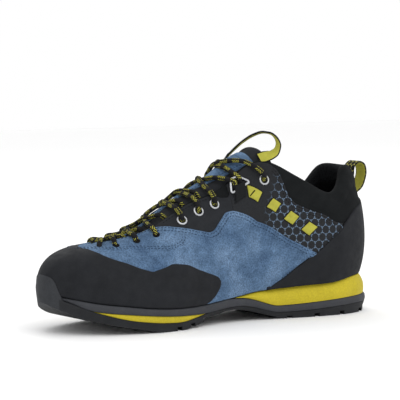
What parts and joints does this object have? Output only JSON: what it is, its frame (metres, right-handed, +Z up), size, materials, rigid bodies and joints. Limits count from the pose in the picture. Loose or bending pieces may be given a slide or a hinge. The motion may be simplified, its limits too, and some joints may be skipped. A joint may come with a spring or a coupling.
{
  "type": "approach shoe",
  "caption": "Low-cut suede approach shoe with rubber rands, over-laced tongue, webbing pull loops and a lugged, layered sole.",
  "frame": {"origin": "on the ground under the middle of the shoe's box", "axes": "+Z up, the toe points to -X and the heel to +X, the medial side faces -Y"},
  "size_m": [0.3058, 0.103, 0.1456],
  "materials": {
    "suede": "dusty blue suede, brushed nap",
    "rubber": "matt black rubber",
    "frame_grey": "satin dark grey foam rubber",
    "foam_yellow": "ochre yellow midsole foam",
    "softshell": "near-black fine fabric",
    "webbing": "lime yellow woven webbing",
    "lace": "round woven lace, black with yellow flecks",
    "eyelet_metal": "pale silver coated metal",
    "footbed": "dark textile footbed"
  },
  "bodies": {
    "root": {"outsole": "rubber", "midsole_forefoot": "foam_yellow", "sole_frame": "frame_grey", "midsole_heel": "foam_yellow", "insole": "footbed", "upper": "suede", "tongue": "softshell", "toe_rand": "rubber", "heel_rand": "rubber", "eyestay_medial": "softshell", "eyestay_lateral": "softshell", "flap_medial": "softshell", "flap_lateral": "softshell", "eyelet_1_medial": "eyelet_metal", "eyelet_2_medial": "eyelet_metal", "eyelet_3_medial": "eyelet_metal", "eyelet_top_medial": "eyelet_metal", "eyelet_1_lateral": "eyelet_metal", "eyelet_2_lateral": "eyelet_metal", "eyelet_3_lateral": "eyelet_metal", "eyelet_top_lateral": "eyelet_metal", "lace_ring_medial": "eyelet_metal", "lace_ring_lateral": "eyelet_metal", "strap_1_medial": "webbing", "strap_2_medial": "webbing", "strap_3_medial": "webbing", "strap_4_medial": "webbing", "strap_1_lateral": "webbing", "strap_2_lateral": "webbing", "strap_3_lateral": "webbing", "strap_4_lateral": "webbing", "lace_bar": "lace", "lace_cross_1": "lace", "lace_cross_2": "lace", "lace_cross_3": "lace", "lace_cross_4": "lace", "lace_cross_5": "lace", "lace_cross_6": "lace", "lace_cross_7": "lace", "tongue_loop": "webbing", "heel_loop": "webbing"}
  },
  "joints": []
}
